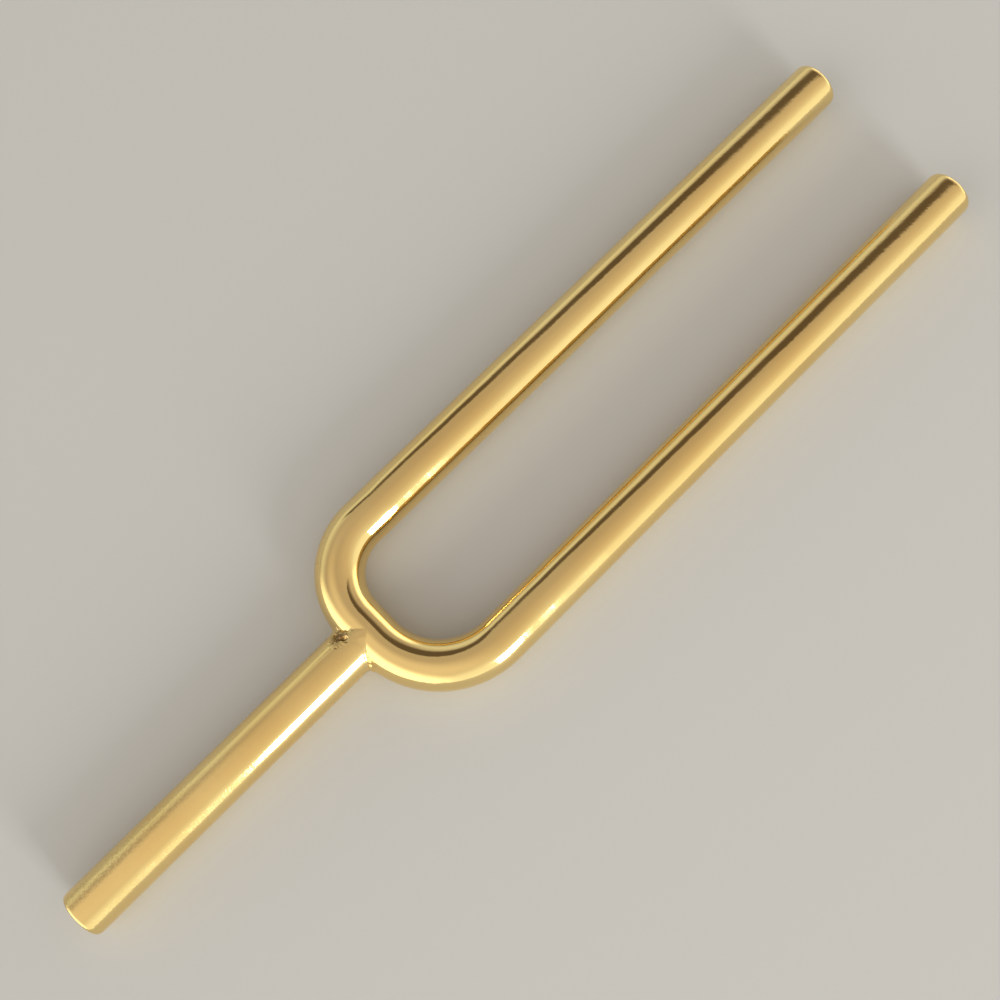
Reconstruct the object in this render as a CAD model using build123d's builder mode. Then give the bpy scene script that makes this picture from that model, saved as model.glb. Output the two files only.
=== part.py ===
"""Tuning fork made of round bar.

One bar is bent into a U for the two prongs. A second bar, the handle stem, is coped onto the
outside of the bend, and a ring of weld metal joins the two.

The fork lies flat on Z = 0. +X points to the prong tips, Y runs across the prongs, and the origin
is under the middle of the outer box. All lengths are in millimetres.
"""

import os

from build123d import *

# Bar stock: 3/8 inch round
bar_diameter = 9.5

# Prongs and bend, measured on the bar's centreline
prong_length = 137.5  # from the flat of the bend to the tips
prong_spacing = 34.0  # centre to centre
left_corner_radius = 12.8  # +Y side of the bend, bent tighter
right_corner_radius = 16.0  # -Y side of the bend
tip_round = 0.5

# Stem
stem_length = 70.5  # from the bend's centreline to the foot
stem_offset = 1.0  # towards +Y, onto the flat between the two corners
foot_round = 0.45

# Weld: it fills a bevel round the stem's end and flares out over the sides of the bend
weld_length = 3.5  # along the stem, measured from the bend's outer face
weld_depth = 1.5  # bevel depth, radially into the stem
weld_flare = 0.9  # how far it stands out at the sides, where it meets the bend
weld_relief = 0.05  # how far its top and bottom lie under the bar's own

# Derived positions
bar_radius = bar_diameter / 2
axis_height = bar_radius
overall_length = prong_length + stem_length
tip_x = overall_length / 2
foot_x = -overall_length / 2
bend_x = foot_x + stem_length
prong_y = prong_spacing / 2
weld_start_x = bend_x - bar_radius - weld_length
weld_middle_x = bend_x - bar_radius - weld_length / 2
bend_face_x = bend_x - bar_radius
stem_core_radius = bar_radius - weld_depth

os.makedirs("parts", exist_ok=True)


# Prong bar: one round section carried along the U
with BuildPart() as prong_bar:
    with BuildLine(Plane.XY.offset(axis_height)) as centreline:
        FilletPolyline(
            (tip_x, -prong_y),
            (bend_x, -prong_y),
            (bend_x, prong_y),
            (tip_x, prong_y),
            radius=(right_corner_radius, left_corner_radius),
        )
    with BuildSketch(Plane.YZ.offset(tip_x)):
        with Locations((-prong_y, axis_height)):
            Circle(bar_radius)
    sweep(path=centreline.wire())
    tip_edges = prong_bar.edges().filter_by(GeomType.CIRCLE).group_by(Axis.X)[-1]
    fillet(tip_edges, tip_round)

prong_bar.part.label = "prong_bar"
export_step(prong_bar.part, "parts/prong_bar.step")


# Stem: plain bar with a bevelled end, coped to sit on the bend
with BuildPart() as stem:
    with BuildSketch(Plane.XY.offset(axis_height)):
        with BuildLine():
            Polyline(
                (foot_x, stem_offset),
                (foot_x, stem_offset + bar_radius),
                (weld_start_x, stem_offset + bar_radius),
                (weld_start_x + weld_depth, stem_offset + stem_core_radius),
                (bend_x, stem_offset + stem_core_radius),
                (bend_x, stem_offset),
                close=True,
            )
        make_face()
    revolve(axis=Axis((0, stem_offset, axis_height), (1, 0, 0)))
    fillet(stem.edges().group_by(Axis.X)[0], foot_round)
    add(prong_bar.part, mode=Mode.SUBTRACT)

stem.part.label = "stem"
export_step(stem.part, "parts/stem.step")


# Weld bead: round where it leaves the stem, widening to an oval where it meets the bend
with BuildPart() as weld_bead:
    with BuildSketch(Plane.YZ.offset(weld_start_x)):
        with Locations((stem_offset, axis_height)):
            Circle(bar_radius)
    for section_x, flare in (
        (weld_middle_x, weld_flare / 4),
        (bend_face_x, weld_flare),
        (bend_x, 2 * weld_flare),
    ):
        with BuildSketch(Plane.YZ.offset(section_x)):
            with Locations((stem_offset, axis_height)):
                Ellipse(bar_radius + flare, bar_radius - weld_relief)
    loft()
    add(stem.part, mode=Mode.SUBTRACT)
    add(prong_bar.part, mode=Mode.SUBTRACT)

weld_bead.part.label = "weld_bead"
export_step(weld_bead.part, "parts/weld_bead.step")
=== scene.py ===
"""Visual model of a round-bar tuning fork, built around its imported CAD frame.

Everything is in metres, in the frame's own axes: the fork lies on Z = 0, +X points to the prong
tips and Y runs across the prongs. Each of the three CAD nodes is replaced by a finely meshed piece
of the same shape: the bent prong bar, the handle stem, and the weld that joins them.
"""

from math import cos, exp, hypot, pi, radians, sin, sqrt

import bpy
import numpy as np
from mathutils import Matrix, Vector, noise


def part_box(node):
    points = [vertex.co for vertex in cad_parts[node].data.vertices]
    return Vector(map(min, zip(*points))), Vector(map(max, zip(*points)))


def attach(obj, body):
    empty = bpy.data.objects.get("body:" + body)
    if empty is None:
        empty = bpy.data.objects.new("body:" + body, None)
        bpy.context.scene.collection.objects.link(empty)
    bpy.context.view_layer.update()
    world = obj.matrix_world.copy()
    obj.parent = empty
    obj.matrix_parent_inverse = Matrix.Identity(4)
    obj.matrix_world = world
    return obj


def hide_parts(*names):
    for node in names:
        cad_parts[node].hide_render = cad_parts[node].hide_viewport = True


MM = 0.001

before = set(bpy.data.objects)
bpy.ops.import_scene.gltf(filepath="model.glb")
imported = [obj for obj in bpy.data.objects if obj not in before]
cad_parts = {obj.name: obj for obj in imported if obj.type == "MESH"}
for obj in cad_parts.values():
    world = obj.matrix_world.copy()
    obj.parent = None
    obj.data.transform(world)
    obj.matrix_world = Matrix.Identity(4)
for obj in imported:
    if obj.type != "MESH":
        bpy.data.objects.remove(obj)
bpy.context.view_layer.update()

# ---- Places and sizes read from the frame -------------------------------------------------------

bar_low, bar_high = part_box("prong_bar")
stem_low, stem_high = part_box("stem")
weld_low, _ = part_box("weld_bead")

RADIUS = (stem_high.y - stem_low.y) / 2
AXIS_Z = RADIUS
TIP_X = bar_high.x
FOOT_X = stem_low.x
PRONG_Y = bar_high.y - RADIUS
BEND_X = bar_low.x + RADIUS
STEM_Y = (stem_low.y + stem_high.y) / 2
WELD_X = weld_low.x

# ---- Sizes of the bent bar that its box doesn't hold --------------------------------------------

LEFT_CORNER = 12.8 * MM  # centreline radius on the +Y side
RIGHT_CORNER = 16.0 * MM  # on the -Y side
TIP_ROUND = 0.5 * MM
FOOT_ROUND = 0.45 * MM
EDGE_STRETCH = 2.2  # polishing has worn each end's edge back this much further along the bar
FACE_SHARES = (0.03, 0.25, 0.5, 0.72)  # radii of the rings on an end face, as shares of the bar's
WELD_DEPTH = 1.5 * MM  # of the bevel that the weld fills, in from the bar's surface
LEFT_Y = PRONG_Y - LEFT_CORNER  # where the flat of the bend ends, on each side
RIGHT_Y = -PRONG_Y + RIGHT_CORNER

AROUND = 128  # quads round a bar
ROUND_STEPS = 10  # rings over an end's rounded edge
ARC_STEPS = 72  # rings over a corner of the bend
FLAT_STEPS = 6  # and over the flat between the corners
STRAIGHT_STEP = 0.9 * MM  # between rings
SHARP_ANGLE = radians(50)  # between faces, above which an edge isn't shaded smooth

# Small dents that the bending tool and handling left: (centre, radius, depth), all in millimetres.
# A negative depth is a rise.
DENTS = (
    ((-15.6, 19.9, 8.5), 1.3, 0.06),
    ((-18.4, 20.6, 7.0), 1.8, 0.05),
    ((-14.6, 13.4, 7.9), 1.5, -0.07),
    ((-16.8, 13.6, 8.4), 1.2, 0.05),
    ((-9.5, -18.9, 8.8), 2.6, 0.05),
    ((-31.5, -14.5, 8.0), 0.55, 0.03),
    ((-30.3, -15.8, 7.9), 0.45, 0.03),
    ((-27.4, -18.0, 8.1), 0.5, 0.02),
    ((-29.0, 6.2, 6.8), 0.35, 0.05),
    ((10.5, 20.9, 7.1), 0.4, 0.03),
    ((-58.0, -2.6, 7.8), 0.6, 0.02),
)


# ---- Meshes -------------------------------------------------------------------------------------


def mesh_from_rings(name, rings, along, close_along=False):
    """A tube through equal rings of points, with its faces outward.

    along gives each ring's distance for the UV map. close_along joins the last ring to the first.
    """
    rings = np.asarray(rings, float)
    count, around = rings.shape[:2]
    vertices = rings.reshape(-1, 3).tolist()
    faces, coords = [], []
    girth = 2 * pi * RADIUS
    for i in range(count if close_along else count - 1):
        after = (i + 1) % count
        for j in range(around):
            beside = (j + 1) % around
            this_ring, next_ring = i * around, after * around
            faces.append((this_ring + j, this_ring + beside, next_ring + beside, next_ring + j))
            near, far = j / around * girth, (j + 1) / around * girth
            start, end = along[i], along[i + 1] if i + 1 < len(along) else along[i]
            coords.append(((start, near), (start, far), (end, far), (end, near)))
    if not close_along:
        for ring, step in ((0, -1), (count - 1, 1)):
            centre = len(vertices)
            vertices.append(rings[ring].mean(0).tolist())
            for j in range(around):
                edge = (ring * around + j, ring * around + (j + 1) % around)
                near, far = j / around * girth, (j + 1) / around * girth
                faces.append((*edge[::step], centre))
                sides = ((along[ring], near), (along[ring], far))
                coords.append((*sides[::step], (along[ring], near)))
    mesh = bpy.data.meshes.new(name)
    mesh.from_pydata(vertices, [], faces)
    uv = mesh.uv_layers.new(name="bar").data
    for corner, place in enumerate(place for face in coords for place in face):
        uv[corner].uv = place
    mesh.validate()
    mesh.shade_smooth()
    mesh.set_sharp_from_angle(angle=SHARP_ANGLE)
    piece = bpy.data.objects.new(name, mesh)
    bpy.context.scene.collection.objects.link(piece)
    return piece


def end_profile(edge_round):
    """(distance back from the end face, radius) from the middle of the face out over its edge."""
    steps = [(0.0, RADIUS * share) for share in FACE_SHARES]
    steps.append((0.0, RADIUS - edge_round * 1.3))
    for k in range(ROUND_STEPS + 1):
        turn = k / ROUND_STEPS * pi / 2
        back = EDGE_STRETCH * edge_round * (1 - cos(turn))
        steps.append((back, RADIUS - edge_round * (1 - sin(turn))))
    return steps


def ring_at(centre, heading, radius):
    """A ring square to a level heading. It starts underneath, so the UV seam faces the floor."""
    side = Vector((-heading.y, heading.x, 0))
    turns = [2 * pi * j / AROUND for j in range(AROUND)]
    return [centre + radius * (-cos(t) * Vector((0, 0, 1)) + sin(t) * side) for t in turns]


def bend_stations():
    """(centre, heading) along the U, from the end of one prong's straight to the other's."""
    stations = []
    for k in range(ARC_STEPS + 1):
        turn = k / ARC_STEPS * pi / 2
        x = BEND_X + LEFT_CORNER * (1 - sin(turn))
        y = LEFT_Y + LEFT_CORNER * cos(turn)
        stations.append((Vector((x, y, AXIS_Z)), Vector((-cos(turn), -sin(turn), 0))))
    for k in range(1, FLAT_STEPS):
        y = LEFT_Y + (RIGHT_Y - LEFT_Y) * k / FLAT_STEPS
        stations.append((Vector((BEND_X, y, AXIS_Z)), Vector((0, -1, 0))))
    for k in range(ARC_STEPS + 1):
        turn = k / ARC_STEPS * pi / 2
        x = BEND_X + RIGHT_CORNER * (1 - cos(turn))
        y = RIGHT_Y - RIGHT_CORNER * sin(turn)
        stations.append((Vector((x, y, AXIS_Z)), Vector((sin(turn), -cos(turn), 0))))
    return stations


def build_prong_bar():
    """Tip, straight, bend, straight, tip."""
    bend = bend_stations()
    stations = []
    for back, radius in end_profile(TIP_ROUND):
        stations.append((Vector((TIP_X - back, PRONG_Y, AXIS_Z)), Vector((-1, 0, 0)), radius))
    start = TIP_X - EDGE_STRETCH * TIP_ROUND
    left_end = bend[0][0].x
    count = int((start - left_end) / STRAIGHT_STEP)
    for k in range(1, count):
        x = start + (left_end - start) * k / count
        stations.append((Vector((x, PRONG_Y, AXIS_Z)), Vector((-1, 0, 0)), RADIUS))
    stations += [(centre, heading, RADIUS) for centre, heading in bend]
    right_end = bend[-1][0].x
    count = int((start - right_end) / STRAIGHT_STEP)
    for k in range(1, count):
        x = right_end + (start - right_end) * k / count
        stations.append((Vector((x, -PRONG_Y, AXIS_Z)), Vector((1, 0, 0)), RADIUS))
    for back, radius in reversed(end_profile(TIP_ROUND)):
        stations.append((Vector((TIP_X - back, -PRONG_Y, AXIS_Z)), Vector((1, 0, 0)), radius))
    return tube_piece("u_bar", stations)


def build_stem():
    """Foot, plain bar, and the smaller core that the weld hides."""
    core_radius = RADIUS - WELD_DEPTH
    bevel_x = WELD_X + 0.02 * MM
    heading = Vector((1, 0, 0))
    stations = []
    for back, radius in end_profile(FOOT_ROUND):
        stations.append((Vector((FOOT_X + back, STEM_Y, AXIS_Z)), heading, radius))
    start = FOOT_X + EDGE_STRETCH * FOOT_ROUND
    count = int((WELD_X - start) / STRAIGHT_STEP)
    for k in range(1, count + 1):
        x = start + (WELD_X - start) * k / count
        stations.append((Vector((x, STEM_Y, AXIS_Z)), heading, RADIUS))
    for x, radius in ((bevel_x, RADIUS), (WELD_X + WELD_DEPTH, core_radius), (BEND_X, core_radius)):
        stations.append((Vector((x, STEM_Y, AXIS_Z)), heading, radius))
    return tube_piece("handle_stem", stations)


def tube_piece(name, stations):
    """A dented bar through stations, a list of (centre, heading, radius)."""
    rings, along, distance = [], [], 0.0
    for k, (centre, heading, radius) in enumerate(stations):
        if k:
            before, _, radius_before = stations[k - 1]
            distance += hypot((centre - before).length, radius - radius_before)
        along.append(distance)
        rings.append([tuple(p) for p in ring_at(centre, heading, radius)])
    rings = np.array(rings)
    middles = rings.mean(1, keepdims=True)
    for centre, size, depth in DENTS:
        away = np.linalg.norm(rings - np.array(centre) * MM, axis=2, keepdims=True) / (size * MM)
        outward = (rings - middles) / RADIUS
        rings = rings - outward * depth * MM * np.exp(-(away**2))
    return mesh_from_rings(name, rings, along)


# ---- The weld -----------------------------------------------------------------------------------

WELD_BLEND = 1.3 * MM  # width of the fillet at the sides
UNDERLAP = 0.02 * MM  # how far the weld's edge runs under the bend's surface
REACH_ON_BEND = 3.2 * MM  # how far the weld's far edge spreads over the sides of the bend
OVERLAP = 0.9 * MM  # how far it runs on past the crease, over the bend's top and bottom
CORE_SHARE = 0.62  # size of the weld's hidden inner rings, as a share of its outer ones
WELD_AROUND = 320
WELD_ACROSS = 84
FADE_RINGS = 6  # over which the lumps die out towards the stem
PULL_STEPS = 12
PULL_SHARE = 0.8  # of the distance to the surface, at each step


def stem_field(p):
    """Distance outside the stem, and its direction."""
    out = np.stack([0 * p[:, 0], p[:, 1] - STEM_Y, p[:, 2] - AXIS_Z], 1)
    length = np.linalg.norm(out, axis=1)
    return length - RADIUS, out / length[:, None]


def bend_field(p):
    """Distance outside the bend, and its direction."""
    x, y, z = p.T
    corner = np.where(y > LEFT_Y, LEFT_CORNER, RIGHT_CORNER)
    corner_y = np.where(y > LEFT_Y, LEFT_Y, RIGHT_Y)
    in_corner = (y > LEFT_Y) | (y < RIGHT_Y)
    to_x = x - (BEND_X + corner)
    to_y = y - corner_y
    reach = np.hypot(to_x, to_y)
    bent = np.stack([(1 - corner / reach) * to_x, (1 - corner / reach) * to_y, z - AXIS_Z], 1)
    flat = np.stack([x - BEND_X, 0 * y, z - AXIS_Z], 1)
    out = np.where(in_corner[:, None], bent, flat)
    length = np.linalg.norm(out, axis=1)
    return length - RADIUS, out / length[:, None]


def weld_field(p):
    """Distance outside the fused joint. The fillet is narrowest where the surfaces run together."""
    to_stem, stem_out = stem_field(p)
    to_bend, bend_out = bend_field(p)
    to_bend = to_bend + UNDERLAP
    width = WELD_BLEND * (1 - (stem_out * bend_out).sum(1)) + 1e-6
    share = np.clip(1 - np.abs(to_stem - to_bend) / width, 0, 1)
    return np.minimum(to_stem, to_bend) - share**2 * width / 4


def weld_slope(p, step=1e-6):
    """Gradient of weld_field, by central differences."""
    ahead = [weld_field(p + step * axis) for axis in np.eye(3)]
    behind = [weld_field(p - step * axis) for axis in np.eye(3)]
    return np.stack([(far - near) / (2 * step) for far, near in zip(ahead, behind)], 1)


def pull_to_surface(p):
    """Points moved onto the fused joint's surface, and the outward directions there."""
    for _ in range(PULL_STEPS):
        slope = weld_slope(p)
        size = np.maximum((slope**2).sum(1), 0.2)
        p = p - PULL_SHARE * (weld_field(p) / size)[:, None] * slope
    return p, slope / np.sqrt((slope**2).sum(1))[:, None]


# Drips of weld metal in the crease on the -Y side: (centre, radius, height) in millimetres
DRIPS = (
    ((-36.4, -2.6, 8.1), 0.34, 0.12),
    ((-37.2, -3.3, 7.4), 0.36, 0.22),
    ((-37.7, -3.9, 6.7), 0.34, 0.28),
    ((-38.2, -4.6, 5.7), 0.60, 0.42),
    ((-38.4, -4.4, 4.2), 0.50, 0.30),
)
# The pitted patch on the +Y side, and the painted shade in the crease on the -Y side, in millimetres
PIT_CENTRE = Vector((-38.1, 3.7, 8.6))
PIT_REACH = 2.5
CREASE_SHADE_CENTRE = Vector((-38.6, -5.0, 4.0))
CREASE_SHADE_REACH = 2.2
RIPPLE_REACH = 2.2 * MM  # from the crease
GROOVE_REACH = 0.30 * MM


def weld_lumps(p, gap):
    """Heights of the uneven weld metal, in metres.

    gap is how far a point is from the crease, as the difference of its two distances.
    """
    heights = np.zeros(len(p))
    for k, point in enumerate(p):
        place = Vector(point) / MM
        near_crease = max(0.0, 1 - gap[k] / RIPPLE_REACH)
        broad = noise.noise(place * 0.42)
        tight = noise.noise(place * 1.1 + Vector((3, 8, 1)))
        height = (broad * 0.05 + tight * 0.02) * near_crease
        pitted = max(0.0, 1 - (place - PIT_CENTRE).length / PIT_REACH)
        if pitted:
            coarse = noise.noise(place * 0.9 + Vector((5, 2, 9)))
            fine = noise.noise(place * 2.1 + Vector((7, 3, 1)))
            pit = min(0.0, coarse + 0.05) * 0.8 + min(0.05, fine) * 0.28
            height += pit * min(1.0, pitted * 2.2)
        side = max(0.0, min(1.0, (abs(place.y - STEM_Y / MM) - 1.2) / 1.2))
        groove = max(0.0, 1 - gap[k] / GROOVE_REACH)
        height -= groove * side * (0.10 + 0.06 * noise.noise(place * 1.7))
        for centre, size, rise in DRIPS:
            height += rise * exp(-(((place - Vector(centre)).length / size) ** 2))
        heights[k] = height * MM
    return heights


def build_weld():
    """A ring from the stem over the crease onto the bend, closed through the inside of the joint."""
    grid = np.zeros((WELD_ACROSS + 1, WELD_AROUND, 3))
    for j in range(WELD_AROUND):
        turn = 2 * pi * j / WELD_AROUND
        side, up = sin(turn), -cos(turn)
        start = Vector((WELD_X, STEM_Y + RADIUS * side, AXIS_Z + RADIUS * up))
        crease_x = BEND_X - RADIUS * abs(side)
        crease = Vector((crease_x, start.y, start.z))
        end_x = min(BEND_X + OVERLAP, crease_x + OVERLAP * abs(up) ** 3)
        end_up = sqrt(max(0.0, RADIUS**2 - (end_x - BEND_X) ** 2))
        end_z = AXIS_Z + (end_up if up > 0 else -end_up)
        end = Vector((end_x, start.y + REACH_ON_BEND * side, end_z))
        first, second = (crease - start).length, (end - crease).length
        for k in range(WELD_ACROSS + 1):
            run = k / WELD_ACROSS * (first + second)
            if run < first:
                grid[k, j] = start.lerp(crease, run / first)
            else:
                grid[k, j] = crease.lerp(end, (run - first) / second)
    flat, out = pull_to_surface(grid.reshape(-1, 3))
    gap = np.abs(stem_field(flat)[0] - bend_field(flat)[0])
    fade = np.ones(grid.shape[:2])
    fade[:FADE_RINGS] = np.linspace(0, 1, FADE_RINGS)[:, None]
    flat = flat + out * (weld_lumps(flat, gap) * fade.ravel())[:, None]
    flat[:, 2] = np.clip(flat[:, 2], 0, 2 * RADIUS)
    grid = flat.reshape(grid.shape)
    grid[0, :, 0] = WELD_X
    middle = np.array([BEND_X, STEM_Y, AXIS_Z])
    rings = list(grid)
    for share in (0.9, CORE_SHARE):
        rings.append(middle + (grid[-1] - middle) * share)
    inner = middle + (grid[0] - middle) * CORE_SHARE
    inner[:, 0] = WELD_X + WELD_DEPTH
    rings.append(inner)
    along = [0.0]
    for k in range(1, len(rings)):
        along.append(along[-1] + float(np.linalg.norm(rings[k] - rings[k - 1], axis=1).mean()))
    stem_length = WELD_X - FOOT_X + RADIUS
    along = [stem_length + s for s in along] + [stem_length]
    return mesh_from_rings("weld_ring", rings, along, close_along=True)


# ---- Materials ----------------------------------------------------------------------------------


class Nodes:
    """Short calls for adding nodes to a shader tree. An input is a number, a tuple or a socket."""

    def __init__(self, tree):
        self.tree = tree
        tree.nodes.clear()

    def add(self, kind, inputs=(), **settings):
        node = self.tree.nodes.new(kind)
        for name, value in settings.items():
            setattr(node, name, value)
        for name, value in dict(inputs).items():
            self.put(node.inputs[name], value)
        return node

    def put(self, socket, value):
        if isinstance(value, bpy.types.NodeSocket):
            self.tree.links.new(value, socket)
        else:
            socket.default_value = value

    def math(self, operation, a, b=0.0):
        node = self.add("ShaderNodeMath", operation=operation)
        self.put(node.inputs[0], a)
        self.put(node.inputs[1], b)
        return node.outputs[0]

    def remap(self, value, low, high, to_low=0.0, to_high=1.0):
        inputs = {"Value": value, "From Min": low, "From Max": high, "To Min": to_low, "To Max": to_high}
        node = self.add("ShaderNodeMapRange", inputs, interpolation_type="SMOOTHSTEP")
        return node.outputs["Result"]

    def mix(self, share, a, b):
        node = self.add("ShaderNodeMix", data_type="RGBA")
        self.put(node.inputs["Factor"], share)
        self.put(node.inputs["A"], a)
        self.put(node.inputs["B"], b)
        return node.outputs["Result"]

    def ramp(self, value, stops):
        node = self.add("ShaderNodeValToRGB", {"Fac": value})
        ramp = node.color_ramp
        for place, _ in stops[:-2]:
            ramp.elements.new(place)
        for element, (place, colour) in zip(ramp.elements, stops):
            element.position = place
            element.color = (*colour, 1)
        return node.outputs["Color"]

    def noise(self, vector, scale, detail=2.0, roughness=0.5):
        inputs = {"Vector": vector, "Scale": scale, "Detail": detail, "Roughness": roughness}
        return self.add("ShaderNodeTexNoise", inputs).outputs["Fac"]

    def stretch(self, vector, scale):
        node = self.add("ShaderNodeMapping", {"Vector": vector, "Scale": scale})
        return node.outputs["Vector"]

    def distance(self, a, b):
        node = self.add("ShaderNodeVectorMath", {0: a, 1: tuple(b)}, operation="DISTANCE")
        return node.outputs["Value"]

    def bump(self, height, distance, normal=None):
        node = self.add("ShaderNodeBump", {"Height": height, "Distance": distance, "Strength": 1.0})
        if normal is not None:
            self.put(node.inputs["Normal"], normal)
        return node.outputs["Normal"]


GOLD = (0.90, 0.68, 0.30, 1)
DEEP_GOLD = (0.87, 0.60, 0.22, 1)
OLIVE = (0.36, 0.28, 0.10, 1)
# Soot colour for the weld's pits, also used as painted shade in the crease on the -Y side
SOOT_AND_SHADE = (0.17, 0.09, 0.035, 1)
SPECK = (0.30, 0.17, 0.06, 1)

# Depths of the surface marks, in metres
SWAY_DEPTH = 110e-6
PEEL_DEPTH = 26e-6
PEBBLE_DEPTH = 26e-6
LINE_DEPTH = 1.5e-6
SPECK_DEPTH = 10e-6
TURNED_DEPTH = 9e-6


def polished_gold(name, welded=False):
    """Polished metal, with orange peel and brushed lines, and grainier towards the three ends.

    Noise scales are per metre. welded adds the pits and a painted shade in the crease on the -Y side.
    """
    material = bpy.data.materials.new(name)
    material.use_nodes = True
    n = Nodes(material.node_tree)
    place = n.add("ShaderNodeTexCoord").outputs["Object"]
    along = n.add("ShaderNodeUVMap", uv_map="bar").outputs["UV"]
    parts = n.add("ShaderNodeSeparateXYZ", {"Vector": place}).outputs
    x, y = parts["X"], parts["Y"]

    # Frosted, pebbled sides towards the foot, and a little grain towards the tips.
    left_from = n.remap(y, STEM_Y + 0.2 * MM, STEM_Y + 1.4 * MM)
    left_side = n.math("MULTIPLY", left_from, n.remap(y, 4.9 * MM, 4.2 * MM))
    right_from = n.remap(y, -1.4 * MM, -2.0 * MM)
    right_side = n.math("MULTIPLY", right_from, n.remap(y, -3.2 * MM, -2.7 * MM))
    sides = n.math("ADD", left_side, n.math("MULTIPLY", right_side, 0.5))
    frost = n.math("MULTIPLY", n.remap(x, -50 * MM, -96 * MM), sides)
    tip_grain = n.remap(x, 45 * MM, 98 * MM)
    on_foot = n.remap(x, FOOT_X + 0.12 * MM, FOOT_X + 0.04 * MM)
    on_end = n.math("MAXIMUM", on_foot, n.remap(x, TIP_X - 0.12 * MM, TIP_X - 0.04 * MM))

    cloud = n.noise(place, 45, 3)
    patch = n.remap(n.noise(place, 130, 2), 0.42, 0.66)
    sway = n.noise(place, 85, 1, 0.4)
    peel = n.noise(place, 480, 1, 0.5)
    pebble = n.noise(place, 2400, 2, 0.6)
    lines = n.noise(n.stretch(along, (60, 8000, 1)), 1.0, 3, 0.65)

    turned = n.noise(n.stretch(along, (4200, 60, 1)), 1.0, 3, 0.6)  # rings round each end face

    # Dark specks, in a few of the cells only
    cells = n.add("ShaderNodeTexVoronoi", {"Vector": place, "Scale": 380.0, "Randomness": 1.0})
    draw = n.add("ShaderNodeSeparateColor", {"Color": cells.outputs["Color"]}).outputs[0]
    chance = n.remap(draw, 0.955, 0.96)
    dot = n.math("MULTIPLY", chance, n.remap(cells.outputs["Distance"], 0.085, 0.045))

    colour = n.mix(n.remap(cloud, 0.35, 0.75, 0.0, 0.5), GOLD, DEEP_GOLD)
    tarnish = n.math("MULTIPLY", frost, n.remap(pebble, 0.42, 0.58, 0.26, 0.0))
    colour = n.mix(tarnish, colour, OLIVE)
    colour = n.mix(n.math("MULTIPLY", dot, 0.6), colour, SPECK)
    rough = n.math("ADD", 0.045, n.math("MULTIPLY", lines, 0.045))
    rough = n.math("ADD", rough, n.math("MULTIPLY", patch, 0.04))
    rough = n.math("ADD", rough, n.math("MULTIPLY", frost, 0.10))
    rough = n.math("ADD", rough, n.math("MULTIPLY", tip_grain, 0.05))
    rough = n.math("ADD", rough, n.math("MULTIPLY", on_end, 0.16))
    rough = n.math("ADD", rough, n.math("MULTIPLY", dot, 0.3))

    grain = n.math("ADD", 0.13, n.math("MULTIPLY", patch, 0.10))
    grain = n.math("ADD", grain, n.math("MULTIPLY", tip_grain, 0.5))
    grain = n.math("ADD", grain, n.math("MULTIPLY", frost, 1.3))
    waviness = n.remap(tip_grain, 0, 1, 0.45, 1.0)

    if welded:
        pits = n.remap(n.distance(place, PIT_CENTRE * MM), PIT_REACH * MM, 0.6 * MM)
        # Painted shade: the crease between stem and bend on the -Y side is darkened towards the soot
        # colour, like the pits
        crease = n.remap(n.distance(place, CREASE_SHADE_CENTRE * MM), CREASE_SHADE_REACH * MM, 0.3 * MM, 0.0, 0.8)
        pits_and_crease_shade = n.math("MAXIMUM", pits, crease)
        soot_and_shade = n.math("MULTIPLY", pits_and_crease_shade, n.remap(n.noise(place, 700, 3, 0.6), 0.34, 0.50))
        colour = n.mix(n.math("MULTIPLY", soot_and_shade, 0.9), colour, SOOT_AND_SHADE)
        rough = n.math("ADD", rough, n.math("MULTIPLY", pits, 0.16))
        grain = n.math("ADD", grain, n.math("MULTIPLY", pits, 0.8))

    normal = n.bump(sway, SWAY_DEPTH)
    normal = n.bump(n.math("MULTIPLY", peel, waviness), PEEL_DEPTH, normal)
    normal = n.bump(n.math("MULTIPLY", pebble, grain), PEBBLE_DEPTH, normal)
    normal = n.bump(lines, LINE_DEPTH, normal)
    normal = n.bump(n.math("SUBTRACT", 1.0, dot), SPECK_DEPTH, normal)
    normal = n.bump(n.math("MULTIPLY", turned, on_end), TURNED_DEPTH, normal)

    settings = {"Base Color": colour, "Metallic": 1.0, "Roughness": rough, "Normal": normal}
    shader = n.add("ShaderNodeBsdfPrincipled", settings)
    n.add("ShaderNodeOutputMaterial", {"Surface": shader.outputs[0]})
    return material


def floor_material():
    material = bpy.data.materials.new("pale_floor")
    material.use_nodes = True
    n = Nodes(material.node_tree)
    settings = {"Base Color": FLOOR_COLOUR, "Roughness": 0.75, "Specular IOR Level": 0.25}
    shader = n.add("ShaderNodeBsdfPrincipled", settings)
    n.add("ShaderNodeOutputMaterial", {"Surface": shader.outputs[0]})
    return material


# ---- Studio -------------------------------------------------------------------------------------

FLOOR_HALF = 8.0
FLOOR_COLOUR = (0.565, 0.58, 0.60, 1)
BACKDROP = (0.54, 0.53, 0.51, 1)
OVERHEAD_LIGHT = (0.94, 0.84, 0.70)
TIP_PANEL_LIGHT = (1.9, 1.8, 1.5)
FOOT_PANEL_LIGHT = (2.0, 1.9, 1.65)
CARD_LIGHT = (0.09, 0.065, 0.045)

# The surround, as (lean in degrees, light): brightest at the -Y side, where the window is, and dim
# over the +Y side, with a paler band low down there.
SURROUND = (
    (-90, (1.18, 1.18, 1.08)),
    (-62, (1.08, 1.08, 0.95)),
    (-44, (0.84, 0.78, 0.66)),
    (-24, (0.70, 0.61, 0.51)),
    (10, (0.55, 0.48, 0.42)),
    (48, (0.50, 0.46, 0.42)),
    (72, (0.80, 0.82, 0.75)),
    (90, (0.45, 0.46, 0.42)),
)

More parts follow.
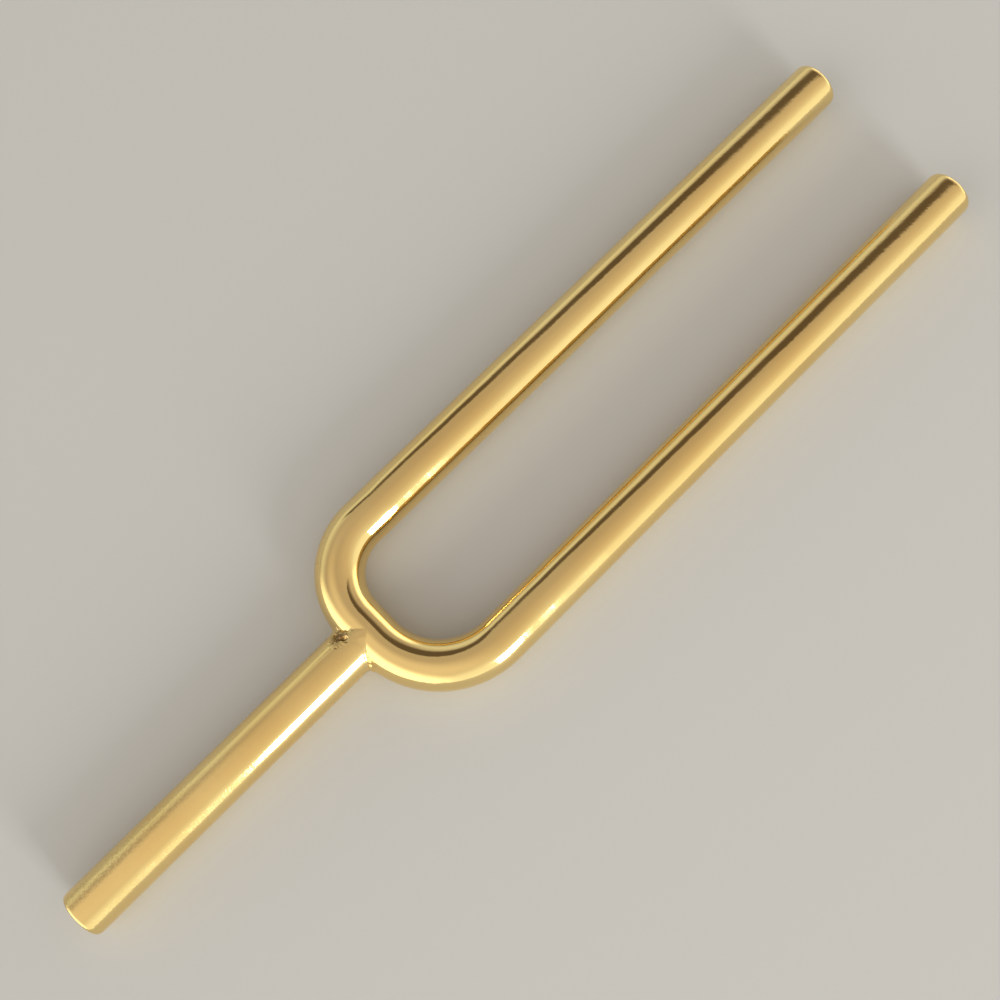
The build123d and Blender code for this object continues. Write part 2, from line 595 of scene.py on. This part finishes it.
# The camera's place, turn and lens were fitted to the fork's outline in the photograph.
CAMERA_PLACE = (-0.02858, -0.0508, 0.23861)
CAMERA_TURN = (13.843, 3.98, -44.734)  # in degrees
CAMERA_LENS = 46.8  # in millimetres, on a sensor 36 mm wide


def build_floor():
    half = FLOOR_HALF
    mesh = bpy.data.meshes.new("floor")
    corners = [(-half, -half, 0), (half, -half, 0), (half, half, 0), (-half, half, 0)]
    mesh.from_pydata(corners, [], [(0, 1, 2, 3)])
    floor = bpy.data.objects.new("floor", mesh)
    bpy.context.scene.collection.objects.link(floor)
    mesh.materials.append(floor_material())


def build_world():
    """Soft studio light from all round: a surround, a soft panel beyond each end and a dark card.

    The panels and the card stand where they put the broad bands of the photograph on the bars.

    lean and drop are angles in degrees. lean turns about X: 0 overhead, -90 at the -Y horizon. drop
    is the angle down from overhead. forward runs from -1 at the foot end to 1 at the tips.
    """
    world = bpy.data.worlds.new("studio")
    bpy.context.scene.world = world
    world.use_nodes = True
    n = Nodes(world.node_tree)
    place = n.add("ShaderNodeTexCoord").outputs["Generated"]
    parts = n.add("ShaderNodeSeparateXYZ", {"Vector": place}).outputs
    forward = parts["X"]
    lean = n.math("DEGREES", n.math("ARCTAN2", parts["Y"], parts["Z"]))
    drop = n.math("DEGREES", n.math("ARCCOSINE", parts["Z"]))

    def paint(colour, mask, amount, light):
        return n.mix(n.math("MULTIPLY", mask, amount), colour, (*light, 1))

    share = n.math("ADD", n.math("DIVIDE", lean, 180.0), 0.5)
    colour = n.ramp(share, [(angle / 180 + 0.5, light) for angle, light in SURROUND])

    # A lift overhead, towards the foot
    overhead = n.math("MULTIPLY", n.remap(lean, -55, -20), n.remap(lean, 52, 16))
    overhead = n.math("MULTIPLY", overhead, n.remap(forward, 0.1, -0.4))
    colour = paint(colour, overhead, 0.8, OVERHEAD_LIGHT)

    # A soft panel low beyond each end.
    tip_panel = n.math("MULTIPLY", n.remap(forward, 0.72, 0.90), n.remap(drop, 62, 78))
    colour = paint(colour, tip_panel, 1.0, TIP_PANEL_LIGHT)
    foot_panel = n.math("MULTIPLY", n.remap(forward, -0.55, -0.90), n.remap(drop, 36, 62))
    colour = paint(colour, foot_panel, 1.0, FOOT_PANEL_LIGHT)

    # A dark card over the +Y side, set aslant so that it reaches further over towards the tips.
    card_low = n.math("ADD", n.math("MULTIPLY", forward, -104.0), 57.0)
    over_low = n.math("SUBTRACT", lean, card_low)
    under_top = n.math("SUBTRACT", n.remap(forward, 0.08, 0.28, 66.0, 57.0), drop)
    card = n.math("MULTIPLY", n.remap(over_low, -2.0, 3.0), n.remap(under_top, -6.0, 6.0))
    card_length = n.math("MULTIPLY", n.remap(forward, -0.14, 0.01), n.remap(forward, 0.80, 0.60))
    card = n.math("MULTIPLY", card, card_length)
    colour = paint(colour, card, 0.92, CARD_LIGHT)
    studio = n.add("ShaderNodeBackground", {"Color": colour}).outputs[0]

    # The camera itself sees a plain backdrop past the floor. The metal reflects the studio.
    backdrop = n.add("ShaderNodeBackground", {"Color": BACKDROP}).outputs[0]
    seen = n.add("ShaderNodeLightPath").outputs["Is Camera Ray"]
    light = n.add("ShaderNodeMixShader", {0: seen, 1: studio, 2: backdrop}).outputs[0]
    n.add("ShaderNodeOutputWorld", {"Surface": light})


def build_window():
    """The one area light, low at -Y and a little towards the foot."""
    data = bpy.data.lights.new("window", "AREA")
    data.shape = "RECTANGLE"
    data.size = 0.28
    data.size_y = 0.56
    data.energy = 8.5
    data.color = (1.0, 0.98, 0.94)
    place = Vector((-0.08, -1.16, 0.34))
    aim = Vector((-0.02, 0, 0))
    light = bpy.data.objects.new("window", data)
    light.location = place
    light.rotation_euler = (aim - place).to_track_quat("-Z", "Y").to_euler()
    bpy.context.scene.collection.objects.link(light)


def build_camera():
    data = bpy.data.cameras.new("camera")
    data.sensor_width = 36
    data.lens = CAMERA_LENS
    data.clip_start = 0.01
    camera = bpy.data.objects.new("camera", data)
    camera.location = CAMERA_PLACE
    camera.rotation_euler = [radians(angle) for angle in CAMERA_TURN]
    bpy.context.scene.collection.objects.link(camera)
    bpy.context.scene.camera = camera


# ---- Assembly -----------------------------------------------------------------------------------

bar_finish = polished_gold("polished_bar")
weld_finish = polished_gold("polished_weld", welded=True)

for piece, node, slot, finish in (
    (build_prong_bar(), "prong_bar", "bar", bar_finish),
    (build_stem(), "stem", "bar", bar_finish),
    (build_weld(), "weld_bead", "weld", weld_finish),
):
    piece.data.materials.append(finish)
    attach(piece, "root")
    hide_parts(node)

# The frame's own nodes don't show, but they carry the finish too.
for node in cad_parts.values():
    node.data.materials.clear()
    node.data.materials.append(bar_finish)

build_floor()
build_world()
build_window()
build_camera()
bpy.context.scene.view_settings.view_transform = "Standard"
